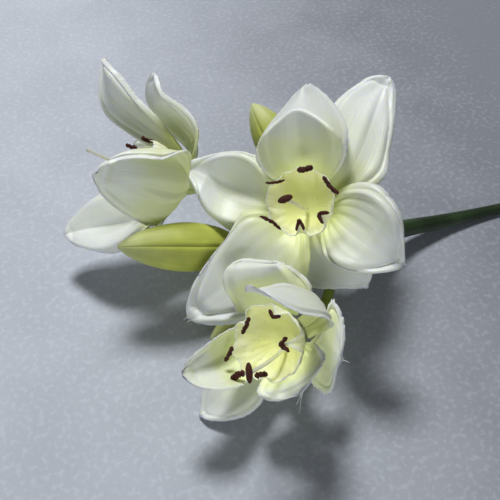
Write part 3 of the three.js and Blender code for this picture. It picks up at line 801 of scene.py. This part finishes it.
MATERIALS = {
    "petal_satin": petal_material, "corona_cup": corona_material, "anther_brown": anther_material,
    "pistil_style": pistil_material, "bud_skin": bud_material, "stem_skin": stem_skin,
    "stalk_skin": stalk_skin, "tube_skin": tube_skin, "studio_floor": floor_material,
}


def material_named(name):
    """A material, which is built the first time that it is asked for."""
    if name not in bpy.data.materials:
        MATERIALS[name]()
    return bpy.data.materials[name]


# Pieces


def round_line(name, line, radius_at, around, along, flat_floor=None):
    """A tube with closed ends along a line, a function of a share."""
    first = slope_of(line, 0)
    side = upwards(1) if abs(first.z) < 0.9 else Vector((1, 0, 0))
    frames = []
    for k in range(along + 1):
        way = slope_of(line, k / along)
        side = (side - way * side.dot(way)).normalized()
        frames.append((line(k / along), side.copy(), way.cross(side)))

    def place(u, v):
        centre, one, two = frames[round(v * along)]
        angle = 2 * pi * u
        point = centre + (one * cos(angle) + two * sin(angle)) * radius_at(v, angle)
        if flat_floor is not None:
            point.z = max(point.z, flat_floor)
        return point

    return draw_sheet(name, place, around, along, wrap=True, caps=True)


def make_petal(flower, number, petal):
    s = sizes()
    name = f"petal_{flower}_{number}"
    to_row = flower_frame(flower)
    curve = midrib(petal)

    def place(u, v):
        return to_row @ blade_point(petal, curve, v, station=quarter_sine(2 * u - 1))

    piece = draw_sheet("fine_" + name, place, s.petal_across, s.petal_along)
    # Painted glow: the petal's share of yellow-green stands partly for light through and between the petals
    tint = piece.data.attributes.new("tint", "FLOAT", "POINT")
    tint.data.foreach_set("value", [TINTS_AND_GLOW[flower][number - 1]] * len(piece.data.vertices))
    thicken(piece, s.petal_wall, lambda u, v: 1 - EDGE_THINNED * (2 * u - 1) ** 2 * min(v * 2, 1))
    belong(piece, "petal_satin", "petal_white", name)


def tooth_at(flower, angle):
    """The nearest anther's reach and rise, and how far its tooth stands up there: 1 at its tip."""
    def apart(anther):
        return abs((angle - anther[0] + 180) % 360 - 180)

    nearest = min(ANTHERS[flower], key=apart)
    reach, rise = nearest[1:3]
    return reach, rise, max(1 - apart(nearest) / TOOTH_HALF_ANGLE, 0)


def corona_point(flower, u, v):
    """The cup's wall, from the middle of its floor at 0 to its toothed rim at 1."""
    angle = -360 * u
    way = on_clock(angle)
    base = GAP + CORONA["floor"] / 2
    if v < CUP_FLOOR["share"]:
        out = v / CUP_FLOOR["share"]
        return way * (CORONA["base"] * out) + upwards(base + CUP_FLOOR["lift"] * out ** 3)
    share = beyond(v, CUP_FLOOR["share"])
    rim = FLOWERS[flower]["rim"]
    around = Vector((way.y, way.x, 0)) * CRUMPLE["scale"] + upwards(rim)
    crumple = noise(around + upwards(share * CRUMPLE["along"]))
    wrinkle = noise(around * WRINKLE["scale"] + upwards(share * WRINKLE["along"]))
    ragged = rough(around, scale=4, height=0.9) + rough(around, scale=11, height=0.45)
    height = CORONA["height"] - RIM["short"] + crumple * CRUMPLE["height"] + ragged * share ** 3
    radius = mixed(CORONA["base"], rim, quarter_sine(share) ** CORONA["flare"])
    radius += (crumple * CRUMPLE["radius"] + wrinkle * WRINKLE["radius"]) * share
    reach, rise, tooth = tooth_at(flower, angle)
    curl = tooth * beyond(share, start=0.62)
    lift = mixed(base + CUP_FLOOR["lift"], height, share)
    lift = mixed(lift, rise - RIM["under_anther"], curl)
    return way * mixed(radius, reach, curl) + upwards(lift)


def make_corona(flower):
    to_row = flower_frame(flower)

    def place(u, v):
        return to_row @ corona_point(flower, u, v)

    piece = draw_sheet(f"fine_corona_{flower}", place, across=180, along=48, wrap=True)
    thicken(piece, sizes().corona_wall, lambda u, v: 1 - EDGE_THINNED * beyond(v, start=0.5))
    # So thin a cup lets nearly all the light through, so it throws no shadow
    piece.visible_shadow = False
    belong(piece, "corona_cup", "corona_pale", f"corona_{flower}")


def make_anther(name, to_row, clock, reach, rise, half_long, thick, turn, lift, arch):
    """A ragged bar of pollen that curls round the tip of a tooth."""
    centre = on_clock(clock) * reach + upwards(rise)
    out = on_clock(clock - turn)
    tangent = Vector((out.y, -out.x, 0))
    way = tangent * cos(radians(lift)) + upwards(sin(radians(lift)))

    def line(share):
        t = 2 * share - 1
        curl = on_clock(clock) * (arch * abs(t) ** ANTHER["curl_power"])
        return to_row @ (centre + way * (t * half_long) + curl)

    def radius_at(share, angle):
        spot = Vector((cos(angle), sin(angle), share * half_long * POLLEN["along"])) * POLLEN["scale"]
        lumps = rough(spot + Vector((clock, reach, 0)), scale=1, height=0.6)
        grains = rough(spot, scale=3.1, height=0.5)
        blunt = (1 - abs(2 * share - 1) ** ANTHER["blunt_power"]) ** 0.5
        thickness = ANTHER["slim"] * thick * (ANTHER["plain"] + lumps + grains)
        return max(thickness * blunt, ANTHER["thinnest"])

    belong(round_line(name, line, radius_at, around=20, along=40), "anther_brown", "anther_brown")


def make_stigma(flower):
    """The pistil's tip: a dark oval pad, or a pale one in the flower seen from the side."""
    half_long, half_wide, turn, material, slot = STIGMAS[flower]
    to_row = flower_frame(flower)
    centre = Vector(FLOWERS[flower]["pistil"][-1])
    lie = Matrix.Rotation(radians(turn), 4, "Z")
    shape = bmesh.new()
    bmesh.ops.create_icosphere(shape, subdivisions=4, radius=1)
    for vert in shape.verts:
        x, y, z = vert.co
        wide = half_wide * (1 + rough(vert.co, scale=2.1, height=0.12))
        spot = Vector((x * half_long, y * wide, z * wide * PAD_FLAT))
        vert.co = (to_row @ (centre + lie @ spot)) * MM
    belong(finished(f"stigma_{flower}", shape), material, slot)


def make_fray(i, flower, number, share, station, length):
    """A loose thread at a petal's frayed margin."""
    petal = PETALS[flower][number - 1]
    curve = midrib(petal)
    to_row = flower_frame(flower)
    start = to_row @ blade_point(petal, curve, share, station)
    behind = to_row @ blade_point(petal, curve, share - THREAD["behind"], station * THREAD["inwards"])
    way = (start - behind).normalized()
    aside = Vector((noise((i, 0.3, 0)), noise((i, 1.7, 0)), noise((i, 2.9, 0)) - THREAD["sag"]))

    def line(s):
        return start + way * (length * (s - THREAD["rooted"])) + aside * (length * THREAD["curl"] * s * s)

    def radius_at(s, angle):
        return mixed(*THREAD["radius"], s)

    belong(round_line(f"fray_{i + 1}", line, radius_at, around=8, along=16), "petal_satin", "petal_white")


def make_pistil(flower):
    to_row = flower_frame(flower)
    radius = sizes().style_radius

    def line(share):
        return to_row @ through(FLOWERS[flower]["pistil"], share)

    def radius_at(share, angle):
        return radius + STYLE_SWELL * beyond(share, start=0.88)

    piece = round_line(f"fine_pistil_{flower}", line, radius_at, around=24, along=60)
    belong(piece, "pistil_style", "pistil_pale", f"pistil_{flower}")


def make_tube(flower):
    """The tube behind a flower, from its stalk's end to its throat."""
    to_row = flower_frame(flower)
    profile = [(r, -back, 0) for r, back in TUBE_PROFILE]

    def place(u, v):
        spot = through(profile, v)
        radius = spot.x * ribs(2 * pi * u, count=3, depth=0.03, turn=pi / 2)
        return to_row @ (on_clock(-360 * u) * radius + upwards(min(spot.y, 0)))

    name = f"flower_tube_{flower}"
    piece = draw_sheet("fine_" + name, place, across=40, along=30, wrap=True, caps=True)
    belong(piece, "tube_skin", "tube_green", name)


def stalk_line(start, end, end_way):
    """A stalk's middle line, from inside the stem's swollen end."""
    way = Vector(start).normalized()
    reach = end.length * STALK["reach"]
    first = UMBEL + way * (KNOB_RADIUS - STALK["rooted"])
    second = UMBEL + way * (KNOB_RADIUS + GAP + reach)
    last = UMBEL + end
    return lambda share: bezier(first, second, last - end_way * reach, last, share)


def make_stalk(name, start, end, end_way, end_radius):
    """A ribbed stalk with a small collar where it meets its flower or bud."""
    def radius_at(share, angle):
        collar = COLLAR["height"] * max(1 - abs(share - COLLAR["at"]) / COLLAR["half"], 0)
        return mixed(STALK["umbel"], end_radius, share) * ribs(angle, count=5, depth=0.02) + collar

    line = stalk_line(start, end, end_way)
    piece = round_line("fine_" + name, line, radius_at, around=28, along=48)
    belong(piece, "stalk_skin", "stalk_olive", name)


def make_bud(name, bud):
    """A closed bud, with a groove where each two of its outer petals meet."""
    base = UMBEL + Vector(bud["base"])
    along = Vector(bud["tip"]) - Vector(bud["base"])
    turn = along.to_track_quat("Z", "Y").to_matrix()
    profile = [(r, share, 0) for r, share in BUD_PROFILE]

    def place(u, v):
        spot = through(profile, v)
        from_seam = abs(((u * SEAM["count"] + 0.5) % 1) - 0.5) * 2
        groove = 1 - SEAM["depth"] * max(1 - from_seam / SEAM["half"], 0) ** 2 * sin(pi * v)
        radius = spot.x * bud["radius"] * groove
        radius *= ribs(2 * pi * u, count=6, depth=0.018, turn=pi / 2)
        out = on_clock(90 - 360 * u - bud["spin"]) * radius
        return base + turn @ (out + upwards(spot.y * along.length))

    piece = draw_sheet(f"fine_bud_{name}", place, across=96, along=60, wrap=True, caps=True)
    belong(piece, "bud_skin", "bud_lime", f"bud_{name}")


def stem_line(share):
    x, y, z = through([row[:3] for row in STEM_ROUTE], share)
    return Vector((UMBEL.x + x, UMBEL.y + y, z))


def make_stem():
    """The cut stem, which lies flat on the floor over most of its length."""
    radii = [(row[3], 0, 0) for row in STEM_ROUTE]

    def radius_at(share, angle):
        return through(radii, share).x * ribs(angle, count=7, depth=0.012, turn=share * 3)

    piece = round_line("fine_stem", stem_line, radius_at, around=40, along=160, flat_floor=0)
    belong(piece, "stem_skin", "stem_green", "stem")


def make_knob():
    """The swollen end of the stem that the stalks grow from."""
    shape = bmesh.new()
    bmesh.ops.create_icosphere(shape, subdivisions=5, radius=1)
    for vert in shape.verts:
        radius = KNOB_RADIUS * (1 + rough(vert.co, scale=2.5, height=0.05))
        vert.co = (UMBEL + vert.co * radius) * MM
    uv = shape.loops.layers.uv.new("UVMap")
    for face in shape.faces:
        for corner in face.loops:
            corner[uv].uv = corner.vert.co.xy * KNOB_UV_SCALE
    belong(finished("umbel_knob", shape), "stalk_skin", "stem_green")


# Studio, in metres, but with the camera's place in millimetres from the umbel

FLOOR_HALF = 3
SKY = dict(colour=(0.82, 0.89, 1, 1), strength=0.06)
CAMERA = dict(place=(-88.4, -166.9, 217.1), tilt=40, turn=-16)


def make_floor():
    shape = bmesh.new()
    bmesh.ops.create_grid(shape, x_segments=1, y_segments=1, size=FLOOR_HALF)
    floor = finished("studio_floor", shape)
    floor.data.materials.append(material_named("studio_floor"))


def make_sky(scene):
    world = bpy.data.worlds.new("Studio")
    world.use_nodes = True
    background = world.node_tree.nodes["Background"]
    background.inputs["Color"].default_value = SKY["colour"]
    background.inputs["Strength"].default_value = SKY["strength"]
    scene.world = world


def make_light(scene, name, place, size, power, colour):
    """A square soft light that faces the flowers, at a place in metres from the umbel."""
    lamp = bpy.data.lights.new(name, "AREA")
    lamp.size = size
    lamp.energy = power
    lamp.color = colour
    holder = bpy.data.objects.new(name, lamp)
    scene.collection.objects.link(holder)
    holder.location = UMBEL * MM + Vector(place)
    holder.rotation_euler = (-Vector(place)).to_track_quat("-Z", "Y").to_euler()


def make_camera(scene):
    lens = bpy.data.cameras.new("Camera")
    lens.lens = 50
    lens.sensor_width = 36
    lens.clip_start = 0.01
    camera = bpy.data.objects.new("Camera", lens)
    scene.collection.objects.link(camera)
    camera.location = (UMBEL + Vector(CAMERA["place"])) * MM
    camera.rotation_euler = (radians(CAMERA["tilt"]), 0, radians(CAMERA["turn"]))
    scene.camera = camera


# Operators


class LILY_OT_stem(bpy.types.Operator):
    """Builds the cut stem and the swollen end that carries the stalks"""

    bl_idname = "lily.stem"
    bl_label = "Stem"

    def execute(self, context):
        make_stem()
        make_knob()
        return {"FINISHED"}


class LILY_OT_stalks(bpy.types.Operator):
    """Builds the stalks of the flowers and of the buds"""

    bl_idname = "lily.stalks"
    bl_label = "Stalks"

    def execute(self, context):
        for flower, values in FLOWERS.items():
            axis = flower_axis(flower)
            end = Vector(values["throat"]) - axis * TUBE_LENGTH
            make_stalk(f"flower_stalk_{flower}", values["stalk_start"], end, axis, STALK["flower"])
        for name, bud in BUDS.items():
            way = (Vector(bud["tip"]) - Vector(bud["base"])).normalized()
            end = Vector(bud["base"]) - way * GAP
            make_stalk(f"bud_stalk_{name}", bud["stalk_start"], end, way, STALK["bud"])
        return {"FINISHED"}


class LILY_OT_tubes(bpy.types.Operator):
    """Builds the tube behind each flower"""

    bl_idname = "lily.tubes"
    bl_label = "Flower tubes"

    def execute(self, context):
        for flower in FLOWERS:
            make_tube(flower)
        return {"FINISHED"}


class LILY_OT_petals(bpy.types.Operator):
    """Builds the petals of every flower and the loose threads at their margins"""

    bl_idname = "lily.petals"
    bl_label = "Petals"

    def execute(self, context):
        for flower, petals in PETALS.items():
            for i, petal in enumerate(petals):
                make_petal(flower, i + 1, petal)
        for i, fray in enumerate(FRAYS):
            make_fray(i, *fray)
        return {"FINISHED"}


class LILY_OT_coronas(bpy.types.Operator):
    """Builds each flower's cup with its teeth and anthers"""

    bl_idname = "lily.coronas"
    bl_label = "Coronas and anthers"

    def execute(self, context):
        for flower in FLOWERS:
            make_corona(flower)
            for i, anther in enumerate(ANTHERS[flower]):
                make_anther(f"anther_{flower}_{i + 1}", flower_frame(flower), *anther)
        return {"FINISHED"}


class LILY_OT_pistils(bpy.types.Operator):
    """Builds the style and stigma in each cup"""

    bl_idname = "lily.pistils"
    bl_label = "Pistils"

    def execute(self, context):
        for flower in FLOWERS:
            make_pistil(flower)
            make_stigma(flower)
        return {"FINISHED"}


class LILY_OT_buds(bpy.types.Operator):
    """Builds the closed buds"""

    bl_idname = "lily.buds"
    bl_label = "Buds"

    def execute(self, context):
        for name, bud in BUDS.items():
            make_bud(name, bud)
        return {"FINISHED"}


class LILY_OT_stage(bpy.types.Operator):
    """Builds the floor, the lights and the camera"""

    bl_idname = "lily.stage"
    bl_label = "Studio"

    def execute(self, context):
        scene = context.scene
        scene.view_settings.view_transform = "Standard"
        make_floor()
        make_sky(scene)
        make_light(scene, "Key", (-0.02, 0.42, 0.82), size=0.2, power=6.8, colour=(0.97, 0.985, 1))
        make_light(scene, "Fill", (-0.25, -0.85, 0.24), size=0.4, power=2.4, colour=(0.94, 0.97, 1))
        make_camera(scene)
        return {"FINISHED"}


class LILY_PT_panel(bpy.types.Panel):
    """Lists the pieces and their sizes and colours"""

    bl_label = "Amazon lily"
    bl_space_type = "VIEW_3D"
    bl_region_type = "UI"
    bl_category = "Lily"

    def draw(self, context):
        for operator in OPERATORS:
            self.layout.operator(operator.bl_idname)
        for group in (context.scene.lily_sizes, context.scene.lily_colours):
            for key in group.__annotations__:
                self.layout.prop(group, key)


OPERATORS = (
    LILY_OT_stage, LILY_OT_stem, LILY_OT_stalks, LILY_OT_tubes, LILY_OT_petals, LILY_OT_coronas,
    LILY_OT_pistils, LILY_OT_buds,
)
CLASSES = (LilySizes, LilyColours, *OPERATORS, LILY_PT_panel)


def register():
    for entry in CLASSES:
        bpy.utils.register_class(entry)
    bpy.types.Scene.lily_sizes = PointerProperty(type=LilySizes)
    bpy.types.Scene.lily_colours = PointerProperty(type=LilyColours)


def unregister():
    del bpy.types.Scene.lily_colours
    del bpy.types.Scene.lily_sizes
    for entry in reversed(CLASSES):
        bpy.utils.unregister_class(entry)


def main():
    register()
    bpy.ops.lily.stage()
    bpy.ops.lily.stem()
    bpy.ops.lily.stalks()
    bpy.ops.lily.tubes()
    bpy.ops.lily.petals()
    bpy.ops.lily.coronas()
    bpy.ops.lily.pistils()
    bpy.ops.lily.buds()


if __name__ == "__main__":
    main()
